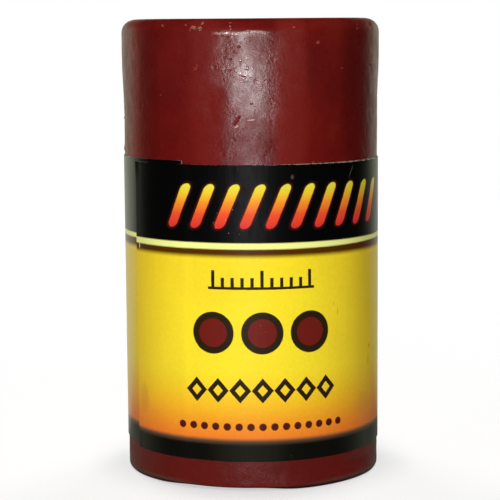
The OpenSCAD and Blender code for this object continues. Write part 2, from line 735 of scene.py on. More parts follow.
    def print_colour(self, tree: Tree, across: Wire, up: Wire, flat: Wire) -> Wire:
        """The whole print with its stains, painted shade towards the stick's sides, and a painted highlight
        on the lower black band.

        Args:
            tree: The print's tree.
            across: The place across.
            up: The place up.
            flat: Both as a vector.

        Returns:
            The colour.
        """
        colour = self.ground(tree, up)
        mottle = tree.grain(flat, 2.6, 3.0, 0.65)
        patches = tree.grain(flat, 0.20, 2.0, 0.5)
        tone = mottle * 0.17 + patches * 0.12 + 0.86
        # Painted shade: the yellow turns oranger towards the stick's sides, away from the front. The print is
        # also a tenth darker over the sheet's start.
        painted_side_shade = tree.rise(abs(across - self.front), 4.0, 13.5)
        tone = tone - tree.rise(across, self.length - 16.0, self.length - 12.8) * 0.10
        green = tone * (1.0 - painted_side_shade * 0.09) * 1.03
        colour = tree.mix(1.0, colour, tree.join(tone, green, tone), "MULTIPLY")
        rub = tree.rise(across, 1.1, 0.2) + tree.rise(across, self.length - 1.6, self.length)
        colour = tree.mix(rub * 0.06, colour, (0.55, 0.26, 0.06, 1.0))
        stains = [
            Spot(27.6, 8.6, 0.16, 0.75, 0.40),
            Spot(22.4, 14.1, 0.10, 0.45, 0.45),
            Spot(21.9, 14.9, 0.08, 0.25, 0.35, 30.0),
            Spot(1.2, 5.2, 0.9, 1.9, 0.22),
            Spot(26.4, 4.6, 1.6, 1.4, 0.12),
            Spot(8.9, 17.4, 4.2, 3.4, 0.07),
        ]
        colour = tree.mix(Spot.together(tree, stains, across, up), colour, self.stain)
        smears = [
            Spot(27.75, 10.05, 0.34, 0.12, 0.75, 35.0),
            Spot(28.0, 9.85, 0.10, 0.36, 0.55, -12.0),
            Spot(self.length - 8.6, 5.1, 0.12, 0.70, 0.50, 8.0),
            Spot(self.length - 8.2, 3.4, 0.20, 0.30, 0.35),
        ]
        colour = tree.mix(Spot.together(tree, smears, across, up), colour, self.smear)
        colour = tree.mix(self.scale_marks(tree, across, up), colour, self.ink)
        colour = self.chips(tree, across, up, colour)
        colour = tree.mix(self.lozenges(tree, across, up), colour, self.ink)
        colour = tree.mix(self.dots(tree, across, up), colour, self.maroon)
        colour = tree.mix(tree.rise(up, self.line_bottom - 1.01, self.line_bottom - 0.42), colour, self.shade)
        narrowed = up - tree.rise(across, 16.0, 29.0) * 0.11
        line = tree.rise(narrowed, self.line_bottom - 0.10, self.line_bottom + 0.09)
        colour = tree.mix(line, colour, self.line)
        top = tree.rise(up, self.line_top - 0.08, self.line_top + 0.08)
        colour = tree.mix(tree.rise(up, 2.38, 1.90), colour, self.brown)
        colour = tree.mix(top, colour, self.black)
        # Painted highlight: the lower black band is a lighter grey in its middle, at the front.
        painted_band_highlight = Spot(self.front - 0.3, 0.9, 4.4, 4.0).mask(tree, across, up)
        painted_band_highlight = tree.mix(painted_band_highlight, self.sooty, self.haze)
        colour = tree.mix(tree.rise(up, 2.05, 1.50), colour, painted_band_highlight)
        chipped = Spot(0.60, 20.22, 0.12, 0.34, 0.75)
        colour = tree.mix(chipped.mask(tree, across, up), colour, self.line)
        colour = self.flame_bars(tree, across, up, colour)
        return self.worn(tree, across, up, flat, colour)

    def worn(self, tree: Tree, across: Wire, up: Wire, flat: Wire, colour: Wire) -> Wire:
        """Dust, a smudge and a scratch on the print.

        Args:
            tree: The print's tree.
            across: The place across.
            up: The place up.
            flat: Both as a vector.
            colour: The clean print.

        Returns:
            The colour with the wear on it.
        """
        specks = tree.rise(tree.cells(flat, 1.9), 0.11, 0.04)
        patch = Spot(11.3, 23.2, 2.2, 1.9, 0.85).mask(tree, across, up)
        rare = tree.rise(tree.grain(flat, 0.5, 2.0), 0.60, 0.68) * 0.28
        colour = tree.mix(specks * tree.maths("MAXIMUM", patch, rare), colour, self.dust)
        smudges = [
            Spot(17.42, 27.25, 0.20, 0.30, 0.20),
            Spot(16.85, 26.25, 0.48, 0.22, 0.09, 40.0),
        ]
        ragged = tree.rise(tree.grain(flat, 2.6, 3.0, 0.6), 0.26, 0.52)
        colour = tree.mix(Spot.together(tree, smudges, across, up) * ragged, colour, self.smudge)
        scratch = across - (up - 26.8) * 0.57
        scratch = Spot(23.9, 27.5, 0.05, 0.75, 0.22).mask(tree, scratch, up)
        return tree.mix(scratch, colour, self.dust)

    def material(self) -> bpy.types.Material:
        """The print's material.

        Returns:
            The new material.
        """
        made, tree = new_material(self.name)
        uv = tree.node("ShaderNodeUVMap", {"uv_map": WrappedLabel.UV_NAME})
        from_start, share_up, _ = tree.split(tree.wire(uv))
        across = (1.0 - from_start) * self.length
        up = share_up * self.height
        flat = tree.join(across, up, 0.0)
        colour = self.print_colour(tree, across, up, flat)
        tall = tree.vector("MULTIPLY", flat, (1.0, 0.10, 1.0))
        creases = tree.grain(tall, 0.75, 3.0, 0.6)
        film = tree.grain(flat, 5.0, 2.0, 0.5)
        rubs = tree.grain(tree.vector("MULTIPLY", flat, (1.0, 0.3, 1.0)), 1.3, 4.0, 0.7)
        roughness = tree.rise(rubs, 0.45, 0.70) * 0.12 + film * 0.05 + self.roughness
        wavy = tree.bump(creases, 0.03)
        normal = tree.bump(film, 0.004, wavy)
        aside = tree.wire(tree.node("ShaderNodeLayerWeight", inputs={"Blend": 0.5}), "Facing")
        rubbed = Spot(30.0, 14.2, 3.5, 60.0, 0.35).mask(tree, across, up)
        shader = tree.principled(
            {
                "Base Color": colour,
                "Roughness": roughness,
                "IOR": self.ior,
                "Coat Weight": tree.rise(aside, 0.25, 0.55) * (1.0 - rubbed) * self.sheen,
                "Coat Roughness": self.sheen_roughness,
                "Normal": normal,
            },
        )
        tree.finish(shader)
        return made


@dataclass(frozen=True)
class PaperFinish:
    """The pale cut edge of the label's sheet, inked where the sheet's ends lie on each other."""

    name: str = "label_cut_edge"
    pale: Colour = (0.62, 0.58, 0.46, 1.0)
    soiled: Colour = (0.30, 0.24, 0.17, 1.0)
    inked: Colour = (0.020, 0.020, 0.018, 1.0)

    def material(self) -> bpy.types.Material:
        """The cut edge's material.

        Returns:
            The new material.
        """
        made, tree = new_material(self.name)
        place = tree.vector("MULTIPLY", tree.point(), (MM_PER_M,) * 3)
        fibres = tree.grain(place, 1.6, 4.0, 0.7)
        colour = tree.mix(tree.rise(fibres, 0.40, 0.66), self.pale, self.soiled)
        x, y, _ = tree.split(place)
        over_start = tree.rise(x, -6.7, -7.2) * tree.rise(x, -10.6, -9.6) * tree.rise(y, 0.0, -1.0)
        colour = tree.mix(over_start, colour, self.inked)
        shader = tree.principled(
            {
                "Base Color": colour,
                "Roughness": fibres * 0.2 + 0.6,
                "Normal": tree.bump(fibres, 0.01),
            },
        )
        tree.finish(shader)
        return made


@dataclass(frozen=True)
class AdhesiveFinish:
    """The clear film of glue under the label, which shows only as a tinted line at its edge."""

    name: str = "adhesive_film"
    clear: Colour = (0.50, 0.44, 0.36, 1.0)
    dusty: Colour = (0.24, 0.13, 0.10, 1.0)
    waxed: Colour = (0.08, 0.012, 0.009, 1.0)

    def material(self) -> bpy.types.Material:
        """The film's material.

        Returns:
            The new material.
        """
        made, tree = new_material(self.name)
        place = tree.vector("MULTIPLY", tree.point(), (MM_PER_M,) * 3)
        lint = tree.grain(place, 2.2, 3.0, 0.6)
        colour = tree.mix(tree.rise(lint, 0.42, 0.60), self.clear, self.dusty)
        _, _, height = tree.split(place)
        colour = tree.mix(tree.rise(height, 12.0, 6.0), colour, self.waxed)
        inputs = {"Base Color": colour, "Roughness": lint * 0.25 + 0.2, "Alpha": 0.6}
        tree.finish(tree.principled(inputs))
        return made


# Modelling by hand


def start_fresh() -> None:
    """Leaves edit mode and deselects every object."""
    if bpy.context.mode != "OBJECT":
        bpy.ops.object.mode_set(mode="OBJECT")
    bpy.ops.object.select_all(action="DESELECT")


def pick(
    piece: bpy.types.Object, mode: str, test: Callable[[bmesh.types.BMVert], bool]
) -> None:
    """Selects, in edit mode, the vertices, edges or faces that pass a test.

    Args:
        piece: The mesh object that is being edited.
        mode: VERT, EDGE or FACE.
        test: Says whether an element is wanted.
    """
    bpy.ops.mesh.select_all(action="DESELECT")
    bpy.ops.mesh.select_mode(type=mode)
    mesh = bmesh.from_edit_mesh(piece.data)
    elements = {"VERT": mesh.verts, "EDGE": mesh.edges, "FACE": mesh.faces}[mode]
    for element in [element for element in elements if test(element)]:
        element.select_set(True)
    mesh.select_flush_mode()
    bmesh.update_edit_mesh(piece.data)


@contextmanager
def in_hand(piece: bpy.types.Object, mode: str = "OBJECT") -> Iterator[None]:
    """Keeps one object selected and active while the steps of a with block run.

    Args:
        piece: The object, which is back in object mode afterwards.
        mode: OBJECT or EDIT.

    Yields:
        Nothing.
    """
    start_fresh()
    piece.select_set(True)
    bpy.context.view_layer.objects.active = piece
    bpy.ops.object.mode_set(mode=mode)
    yield
    bpy.ops.object.mode_set(mode="OBJECT")
    piece.select_set(False)


def settle(piece: bpy.types.Object) -> None:
    """Puts an object's place, turn and scale into its mesh."""
    with in_hand(piece):
        bpy.ops.object.transform_apply(location=True, rotation=True, scale=True)


def apply_modifiers(piece: bpy.types.Object) -> None:
    """Applies every modifier on an object, in order."""
    with in_hand(piece):
        for modifier in list(piece.modifiers):
            bpy.ops.object.modifier_apply(modifier=modifier.name)


def smooth(piece: bpy.types.Object, degrees: float) -> None:
    """Shades an object smooth, apart from edges sharper than an angle."""
    with in_hand(piece):
        bpy.ops.object.shade_smooth_by_angle(angle=math.radians(degrees))


def eased(value: float, low: float, high: float) -> float:
    """A smooth step from 0 at low to 1 at high."""
    share = min(1.0, max(0.0, (value - low) / (high - low)))
    return share * share * (3.0 - 2.0 * share)


def around(degrees: float, radius: float, height: float) -> Vector:
    """A point of a cylinder, in metres.

    Args:
        degrees: The way round from the front, positive to the right.
        radius: Distance from the axis, in millimetres.
        height: Height above the base, in millimetres.

    Returns:
        The point.
    """
    turn = math.radians(degrees)
    return Vector((math.sin(turn) * radius, -math.cos(turn) * radius, height)) * MM


# The wax


@dataclass(frozen=True)
class Dent:
    """A hollow pressed into the wax, or a swelling if its depth is negative."""

    degrees: float
    height: float
    half_width: float
    half_height: float
    depth: float

    def push(self, degrees: float, height: float, radius: float) -> float:
        """How deep the hollow is at a point of the side.

        Args:
            degrees: The way round from the front.
            height: Height above the base, in millimetres.
            radius: Radius of the side, in millimetres.

        Returns:
            The depth there, in millimetres.
        """
        turn = (degrees - self.degrees + FULL_TURN / 2.0) % FULL_TURN - FULL_TURN / 2.0
        side = math.radians(turn) * radius / self.half_width
        rise = (height - self.height) / self.half_height
        reach = side * side + rise * rise
        return self.depth * math.exp(-2.0 * reach) if reach < 4.0 else 0.0


@dataclass
class WaxStick:
    """The cast wax: a round stick that swells slightly towards its bare end.

    The bare end has a rounded rim that meets the side in a fine raised crease, and shallow
    dents from handling.
    """

    radius: float = 12.7
    height: float = 45.0
    top_rim: float = 1.3
    base_rim: float = 0.25
    foot_wear: float = 0.20
    foot_spread: float = 0.36
    segments: int = 384
    swell: float = 0.17
    swell_from: float = 35.0
    swell_to: float = 42.4
    front_dip: float = 0.13
    crease_height: float = 43.53
    crease_arch: float = 0.16
    crease_rise: float = 0.022
    label_low: float = 2.0
    label_high: float = 30.6
    top_rim_steps: int = 12
    base_rim_steps: int = 6
    foot_cuts: int = 5
    label_cuts: int = 9
    bare_cuts: int = 63
    top_rings: int = 26
    base_rings: int = 5
    waves: Tuple[Tuple[float, float, Triple], ...] = (
        (0.035, 0.25, (0.0, 0.0, 0.0)),
        (0.014, 0.9, (0.0, 7.0, 0.0)),
        (0.006, 2.4, (5.0, 0.0, 2.0)),
    )
    finish: WaxFinish = field(default_factory=WaxFinish)
    dents: Tuple[Dent, ...] = (
        Dent(-10.0, 42.2, 1.30, 1.10, 0.03),
        Dent(-2.5, 38.0, 1.30, 2.20, 0.02),
        Dent(15.0, 35.6, 2.60, 2.80, -0.12),
        Dent(-6.0, 33.0, 2.20, 1.20, 0.035),
        Dent(66.0, 44.35, 0.45, 0.30, 0.10),
        Dent(35.0, 39.0, 3.00, 2.00, 0.04),
        Dent(-38.0, 36.5, 3.00, 2.50, 0.03),
        Dent(84.0, 37.3, 0.80, 0.90, 0.06),
        Dent(-88.0, 33.2, 0.60, 0.60, 0.05),
        Dent(-86.0, 32.3, 0.40, 0.35, -0.06),
        Dent(122.0, 40.0, 1.60, 1.00, 0.07),
        Dent(164.0, 35.5, 2.20, 1.60, 0.06),
        Dent(-140.0, 38.2, 1.20, 2.00, 0.06),
    )

    def side_radius(self, height: float) -> float:
        """The wax's radius at a height, without its dents, in millimetres."""
        swell = self.swell * eased(height, self.swell_from, self.swell_to)
        rim = self.height - self.top_rim
        if height <= rim:
            return self.radius + swell
        drop = min(1.0, (height - rim) / self.top_rim)
        return self.radius + swell - self.top_rim * (1.0 - math.sqrt(1.0 - drop * drop))

    def blank(self) -> bpy.types.Object:
        """The plain turned stick, with rings close enough together to take dents.

        Returns:
            The new object, in object mode.
        """
        start_fresh()
        bpy.ops.mesh.primitive_cylinder_add(
            vertices=self.segments,
            radius=self.radius * MM,
            depth=self.height * MM,
            location=(0.0, 0.0, self.height * MM / 2.0),
            end_fill_type="NGON",
        )
        stick = bpy.context.object
        stick.name = "wax_stick_dressed"
        settle(stick)
        with in_hand(stick, "EDIT"):
            self.round_rim(stick, self.height, self.top_rim, self.top_rim_steps)
            self.round_rim(stick, 0.0, self.base_rim, self.base_rim_steps)
            for height in (self.label_low, self.label_high):
                bpy.ops.mesh.select_all(action="SELECT")
                bpy.ops.mesh.bisect(plane_co=(0.0, 0.0, height * MM), plane_no=(0.0, 0.0, 1.0))
            self.ring(stick, self.base_rim, self.label_low, self.foot_cuts)
            self.ring(stick, self.label_low, self.label_high, self.label_cuts)
            self.ring(stick, self.label_high, self.height - self.top_rim, self.bare_cuts)
            self.face_end(stick, self.height, self.top_rings)
            self.face_end(stick, 0.0, self.base_rings)
        return stick

    def round_rim(self, stick: bpy.types.Object, height: float, size: float, steps: int) -> None:
        """Rounds the rim at one end.

        Args:
            stick: The stick, in edit mode.
            height: The end's height, in millimetres.
            size: The rim's radius, in millimetres.
            steps: How many flats it gets.
        """
        level = height * MM
        pick(stick, "EDGE", lambda edge: all(abs(v.co.z - level) < LEVEL_SLACK for v in edge.verts))
        bpy.ops.mesh.bevel(offset=size * MM, segments=steps, profile=0.5, affect="EDGES")

    def ring(self, stick: bpy.types.Object, low: float, high: float, cuts: int) -> None:
        """Cuts one stretch of the side into rings.

        Args:
            stick: The stick, in edit mode.
            low: The stretch's lower end, in millimetres.
            high: Its upper end, in millimetres.
            cuts: How many cuts it gets.
        """
        slack = 0.02 * MM
        floor, ceiling = low * MM - slack, high * MM + slack

        def upright(edge: bmesh.types.BMEdge) -> bool:
            """Whether an edge runs up the side within the stretch."""
            a, b = (vertex.co for vertex in edge.verts)
            inside = floor < min(a.z, b.z) and max(a.z, b.z) < ceiling
            return inside and abs(a.z - b.z) > 0.3 * MM and (a - b).to_2d().length < slack

        pick(stick, "EDGE", upright)
        bpy.ops.mesh.subdivide(number_cuts=cuts)

    def face_end(self, stick: bpy.types.Object, height: float, steps: int) -> None:
        """Insets a flat end into rings and closes them at the middle.

        Args:
            stick: The stick, in edit mode.
            height: The end's height, in millimetres.
            steps: How many rings it gets.
        """
        level = height * MM
        inner = self.radius - (self.top_rim if height > 0.0 else self.base_rim)

        def whole_end(face: bmesh.types.BMFace) -> bool:
            """Whether a face is the whole of the flat end."""
            return len(face.verts) > 4 and abs(face.calc_center_median().z - level) < LEVEL_SLACK

        pick(stick, "FACE", whole_end)
        for _ in range(steps):
            bpy.ops.mesh.inset(thickness=inner * MM * 0.97 / steps)
        bpy.ops.mesh.poke()

    def worn_foot(self, degrees: float, height: float) -> float:
        """How far wear has lifted the base rim, at the front and a little to the left.

        Args:
            degrees: The way round from the front.
            height: Height above the base, in millimetres.

        Returns:
            The lift, in millimetres.
        """
        span = 1.0 - eased(abs(degrees + 13.0), 14.0, 34.0)
        return self.foot_wear * span * (1.0 - eased(height, 0.0, 1.6))

    def spread_foot(self, degrees: float, height: float) -> float:
        """How far the base rim has spread under the stick, most at the front right.

        Args:
            degrees: The way round from the front.
            height: Height above the base, in millimetres.

        Returns:
            The distance outwards, in millimetres.
        """
        side = abs(degrees)
        span = eased(degrees, 2.0, 26.0) + 0.35 * eased(-degrees, 40.0, 60.0)
        return self.foot_spread * span * (1.0 - eased(side, 56.0, 86.0)) * (1.0 - eased(height, 0.1, 2.4))

    def crease(self, place: Vector) -> float:
        """How far the ragged crease under the rim stands out, most in front, where it arches up.

        Args:
            place: The point of the side, in millimetres.

        Returns:
            The distance outwards, in millimetres.
        """
        ragged = 0.55 + 0.9 * noise.noise(place * 0.55 + Vector((3.0, 1.0, 0.0)))
        level, share = self.crease_height, 0.1
        if place.y < 0.0:
            level += self.crease_arch * (1.0 - eased(abs(place.x - 0.25), 0.2, 1.5))
            share += 0.9 * (1.0 - eased(abs(place.x + 0.9), 2.2, 4.5))
        off = (place.z - level) / 0.20
        return self.crease_rise * share * max(0.15, ragged) * math.exp(-off * off)

    def relief(self, degrees: float, height: float) -> float:
        """How far the wax stands out from a true cylinder at a point of its side.

        Args:
            degrees: The way round from the front.
            height: Height above the base, in millimetres.

        Returns:
            The distance outwards, in millimetres.
        """
        arc = math.radians(degrees)
        place = Vector((math.sin(arc), -math.cos(arc), 0.0)) * self.radius
        place.z = height
        out = self.swell * eased(height, self.swell_from, self.swell_to)
        out += self.crease(place) + self.spread_foot(degrees, height)
        bare = eased(height, self.label_high + 0.5, self.label_high + 1.5)
        bare += eased(self.label_low + 0.6, height, height + 0.6)
        for depth, per_mm, seed in self.waves:
            out += bare * depth * noise.noise(place * per_mm + Vector(seed))
        for dent in self.dents:
            out -= dent.push(degrees, height, self.radius)
        return out

    def build(self) -> bpy.types.Object:
        """Models and dresses the wax.

        Returns:
            The finished piece.
        """
        stick = self.blank()
        inner = self.radius - self.top_rim
        for vertex in stick.data.vertices:
            x, y, z = (value * MM_PER_M for value in vertex.co)
            reach = math.hypot(x, y)
            frontal = max(0.0, -y) ** 2 / (self.radius * max(reach, 0.1))
            dip = self.front_dip * frontal * eased(z, self.height - 2.0 * self.top_rim, self.height)
            vertex.co.z -= dip * MM
            if reach > inner and z < self.height / 2.0:
                vertex.co.z += self.worn_foot(math.degrees(math.atan2(x, -y)), z) * MM
            if reach > inner - 0.01:
                degrees = math.degrees(math.atan2(x, -y))
                out = self.relief(degrees, z)
                rim = max(0.0, z - (self.height - self.top_rim)) / self.top_rim
                side = math.sqrt(max(0.0, 1.0 - rim * rim))
                grown = 1.0 + out * (0.35 + 0.65 * side) / reach
                vertex.co.x *= grown
                vertex.co.y *= grown
            elif z > self.height / 2.0:
                wave = noise.noise(Vector((x, y, 0.0)) * 0.22) - 0.6
                wave += 0.3 * noise.noise(Vector((x, y, 4.0)) * 0.8)
                vertex.co.z += 0.05 * MM * wave * eased(inner - reach, 0.0, 2.0)
        stick.data.materials.append(self.finish.material())
        smooth(stick, 40.0)
        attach(stick, BODY)
        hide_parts("wax_stick")
        return stick


@dataclass(frozen=True)
class Crumb:
    """One crumb of wax on the stick."""

    degrees: float
    height: float
    size: float
    pale: bool = False


@dataclass
class WaxCrumbs:
    """Crumbs and flakes of wax that cling to the bare end and its rim."""

    stick: WaxStick
    fresh_wax: Optional[bpy.types.Material] = None
    pale_wax: Optional[bpy.types.Material] = None
    strewn: int = 16
    crumbs: Tuple[Crumb, ...] = (
        Crumb(-24.3, 44.05, 0.42, True),
        Crumb(-23.1, 43.90, 0.26),
        Crumb(-21.3, 43.93, 0.34, True),
        Crumb(-22.1, 44.08, 0.20),
        Crumb(-20.5, 44.43, 0.26, True),
        Crumb(-28.1, 44.30, 0.22),
        Crumb(-25.8, 43.80, 0.24),
        Crumb(-16.3, 43.36, 0.26),
        Crumb(-15.9, 43.60, 0.20),
        Crumb(-8.4, 44.42, 0.16),
        Crumb(-8.1, 43.87, 0.26),
        Crumb(-8.3, 44.13, 0.18),
        Crumb(-40.5, 44.30, 0.26),
        Crumb(18.8, 44.02, 0.19),
        Crumb(52.9, 43.92, 0.28),
        Crumb(53.6, 44.30, 0.22),
        Crumb(29.6, 42.60, 0.34),
        Crumb(42.7, 40.18, 0.26),
        Crumb(66.6, 40.40, 0.26),
        Crumb(-23.7, 40.25, 0.28),
        Crumb(-22.9, 40.60, 0.15),
        Crumb(-42.1, 37.75, 0.18),
        Crumb(27.6, 31.34, 0.24),
        Crumb(-86.0, 32.2, 0.30),
    )

    def all_crumbs(self) -> List[Crumb]:
        """The crumbs that are seen from the front and those strewn over the rest.

        Returns:
            All of them.
        """
        draw = random.Random(19)
        more = []
        for _ in range(self.strewn):
            degrees = draw.uniform(80.0, 280.0)
            height = draw.uniform(32.5, 44.3)
            more.append(Crumb(degrees, height, draw.uniform(0.14, 0.34)))
        return list(self.crumbs) + more

    def shape(self, crumb: Crumb, draw: random.Random) -> bpy.types.Object:
        """Models one crumb, sunk a little into the wax that carries it.

        Args:
            crumb: Its place and size.
            draw: The source of its ragged outline.

        Returns:
            The crumb's object.
        """
        start_fresh()
        bpy.ops.mesh.primitive_ico_sphere_add(subdivisions=3, radius=0.5 * crumb.size * MM)
        bit = bpy.context.object
        seed = Vector((draw.uniform(0.0, 50.0), draw.uniform(0.0, 50.0), 0.0))
        stretch = (draw.uniform(0.8, 1.35), 0.42, draw.uniform(0.7, 1.1))
        for vertex in bit.data.vertices:
            lump = 1.0 + 0.75 * noise.noise(vertex.co * (2.4 / (crumb.size * MM)) + seed)
            vertex.co = Vector(a * b * lump for a, b in zip(vertex.co, stretch))
        turn = math.radians(crumb.degrees)
        spin = Matrix.Rotation(draw.uniform(-1.2, 1.2), 4, "Y")
        radius = self.stick.side_radius(crumb.height) + 0.03 * crumb.size
        place = Matrix.Translation(around(crumb.degrees, radius, crumb.height))
        bit.matrix_world = place @ Matrix.Rotation(turn, 4, "Z") @ spin
        settle(bit)
        bit.data.materials.append(self.pale_wax if crumb.pale else self.fresh_wax)
        return bit

    def build(self) -> bpy.types.Object:
        """Models all the crumbs as one piece and dresses it.

        Returns:
            The finished piece.
        """
        fresh = WaxFinish(
            name="wax_crumb",
            body=(0.240, 0.045, 0.036, 1.0),
            deep=(0.170, 0.020, 0.016, 1.0),
            warm=(0.290, 0.070, 0.056, 1.0),
            clouds_per_mm=4.5,
        )
        pale = WaxFinish(
            name="wax_crumb_pale",
            body=(0.420, 0.200, 0.155, 1.0),
            deep=(0.210, 0.060, 0.048, 1.0),
            warm=(0.540, 0.310, 0.240, 1.0),
            clouds_per_mm=4.5,
        )
        self.fresh_wax, self.pale_wax = fresh.material(), pale.material()
        draw = random.Random(7)
        bits = [self.shape(crumb, draw) for crumb in self.all_crumbs()]
        start_fresh()
        for bit in bits:
            bit.select_set(True)
        bpy.context.view_layer.objects.active = bits[0]
        bpy.ops.object.join()
        crumbs = bpy.context.object
        crumbs.name = "wax_crumbs"
        smooth(crumbs, 70.0)
        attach(crumbs, BODY)
        return crumbs


# The label


@dataclass
class WrappedLabel:
    """The printed sheet, wrapped once round the wax with its outer end over its own start.

    Turns are counted in degrees from the sheet's start, clockwise seen from above. The sheet
    drops a little as it goes round, so its start peeps out above the outer end.
    """

    UV_NAME = "sheet"

    height: float = 28.4
    lift: float = 3.12
    drop: float = 0.32
    slant: float = 0.12
    start_degrees: float = -31.0
    total_turn: float = 389.52
    inner_radius: float = 12.729
    thickness: float = 0.078
    layer: float = 0.108
    climb_turn: float = 5.4
    tail_turn: float = 2.6
    tail_lift: float = 0.018
    upper_corner: float = 0.05
    lower_corner: float = 0.02
    uneven_cut: float = 0.035
    ripple: float = 0.006
    columns: int = 400
    rows: int = 40

    @property
    def length(self) -> float:
        """The flat sheet's length, in millimetres."""
        return math.radians(self.total_turn) * (self.inner_radius + self.thickness / 2.0)

    def off_wax(self, turn: float, up: float) -> float:
        """How far the sheet stands off its first layer.

        Args:
            turn: The turn from the sheet's start, in degrees.
            up: The share of the sheet's height, from 0 to 1.

        Returns:
            The distance, in millimetres.
        """
        raised = self.layer * eased(turn, FULL_TURN - self.climb_turn, FULL_TURN)
        tail = eased(turn, self.total_turn - self.tail_turn, self.total_turn)
        corner = self.upper_corner * eased(up, 0.93, 1.0) + self.lower_corner * eased(1.0 - up, 0.95, 1.0)
        return raised + tail * (self.tail_lift + corner)

    def wrapped(self, turn: float, up: float) -> Vector:
        """Where a point of the flat sheet lies on the stick.

        Args:
            turn: The turn from the sheet's start, in degrees.
            up: The share of the sheet's height, from 0 to 1.

        Returns:
            The point, in metres.
        """
        height = self.lift - self.drop * turn / FULL_TURN + up * self.height
        height -= self.slant * math.sin(math.radians(self.start_degrees - turn))
        edge = eased(abs(up - 0.5), 0.47, 0.5)
        cut = noise.noise(Vector((turn * 0.09, up * 3.0, 0.0))) * self.uneven_cut * edge
        wave = 0.5 + 0.5 * noise.noise(Vector((turn * 0.07, up * 1.5, 9.0)))
        radius = self.inner_radius + self.off_wax(turn, up) + self.ripple * wave
        return around(self.start_degrees - turn, radius, height + cut)

    def flat_sheet(self) -> bpy.types.Object:
        """The cut sheet before it is wrapped, one unit long and high, in the XY plane.

        Returns:
            The new object, in object mode.
        """
        start_fresh()
        bpy.ops.mesh.primitive_grid_add(
            x_subdivisions=self.columns, y_subdivisions=self.rows, size=1.0, location=(0.5, 0.5, 0.0)
        )
        sheet = bpy.context.object
        sheet.name = "label_sheet"
        settle(sheet)
        return sheet

    def map_print(self, sheet: bpy.types.Object) -> None:
        """Gives the flat sheet the UV map that its print follows."""
        layer = sheet.data.uv_layers.active or sheet.data.uv_layers.new()
        layer.name = self.UV_NAME
        for loop in sheet.data.loops:
            place = sheet.data.vertices[loop.vertex_index].co
            layer.data[loop.index].uv = (place.x, place.y)

    def build(self) -> bpy.types.Object:
        """Models, wraps and dresses the label.

        Returns:
            The finished piece.
        """
        sheet = self.flat_sheet()
        self.map_print(sheet)
        for vertex in sheet.data.vertices:
            vertex.co = self.wrapped(vertex.co.x * self.total_turn, vertex.co.y)
        sheet.data.materials.append(PrintFinish(self.length, self.height).material())
        sheet.data.materials.append(PaperFinish().material())
        solid = sheet.modifiers.new("sheet thickness", "SOLIDIFY")
        solid.thickness = self.thickness * MM
        solid.offset = self.outward_offset(sheet)
        solid.use_even_offset = False
        solid.material_offset_rim = 1
        apply_modifiers(sheet)
        self.face_outwards(sheet)
        smooth(sheet, 35.0)
        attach(sheet, BODY)
        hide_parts("label_face")
        return sheet

    @staticmethod
    def outward_offset(sheet: bpy.types.Object) -> float:
        """Which way the thickness has to grow so that the sheet's inside stays on the glue."""
        face = sheet.data.polygons[len(sheet.data.polygons) // 2]
        return 1.0 if face.normal.dot(face.center * Vector((1.0, 1.0, 0.0))) > 0.0 else -1.0

    @staticmethod
    def face_outwards(sheet: bpy.types.Object) -> None:
        """Turns the closed sheet's faces outwards."""
        with in_hand(sheet, "EDIT"):
            bpy.ops.mesh.select_all(action="SELECT")
            bpy.ops.mesh.normals_make_consistent(inside=False)


def dress_adhesive() -> bpy.types.Object:
    """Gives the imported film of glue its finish.

    Returns:
        The film's object.
    """
    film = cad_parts["label_adhesive"]
    film.data.materials.clear()
    film.data.materials.append(AdhesiveFinish().material())
    return film


# The studio


class Seen(Enum):
    """Whether a lamp shows in the gloss of the stick or only lights it."""

    IN_GLOSS = "in gloss"
    AS_LIGHT = "as light"


@dataclass(frozen=True)
class SoftBox:
    """A rectangular soft lamp."""

    name: str
    place: Triple
    aim: Triple
    width: float
    height: float
    radiance: float
    seen: Seen

    def build(self) -> bpy.types.Object:
        """Hangs the lamp.

        Returns:
            Its object.
        """
        lamp = bpy.data.lights.new(self.name, "AREA")
        lamp.shape = "RECTANGLE"
        lamp.size = self.width
        lamp.size_y = self.height
        lamp.energy = self.radiance * math.pi * self.width * self.height
        hung = bpy.data.objects.new(self.name, lamp)
        bpy.context.scene.collection.objects.link(hung)
        hung.location = self.place
        away = Vector(self.place) - Vector(self.aim)
        hung.rotation_euler = away.to_track_quat("Z", "Y").to_euler()
        hung.visible_camera = False
        hung.visible_glossy = self.seen is Seen.IN_GLOSS
        return hung


@dataclass
class PhotoCamera:
    """The camera, where the fit to the photograph's outline and label edges puts it."""

    distance: float = 169.49
    height: float = 42.32
    down: float = 0.1211
    turn: float = -0.001
    roll: float = 0.0074
    focal_widths: float = 3.354
    film_width: float = 36.0

    def build(self) -> bpy.types.Object:
        """Sets the camera up and makes it the scene's own.

        Returns:
            Its object.
        """
        data = bpy.data.cameras.new("photo_camera")
        data.sensor_fit = "HORIZONTAL"
        data.sensor_width = self.film_width
        data.lens = self.focal_widths * self.film_width
        data.clip_start = 0.01
        data.clip_end = 30.0
        camera = bpy.data.objects.new("photo_camera", data)
        bpy.context.scene.collection.objects.link(camera)
        level = math.cos(self.down)
        ahead = Vector((math.sin(self.turn) * level, math.cos(self.turn) * level, -math.sin(self.down)))
        right = Vector((math.cos(self.turn), -math.sin(self.turn), 0.0))
        below = ahead.cross(right)
        rolled_right = right * math.cos(self.roll) + below * math.sin(self.roll)
        rolled_below = below * math.cos(self.roll) - right * math.sin(self.roll)
        axes = Matrix((rolled_right, -rolled_below, -ahead)).transposed()
        place = Vector((0.0, -self.distance, self.height)) * MM
        camera.matrix_world = Matrix.Translation(place) @ axes.to_4x4()
        bpy.context.scene.camera = camera
        return camera


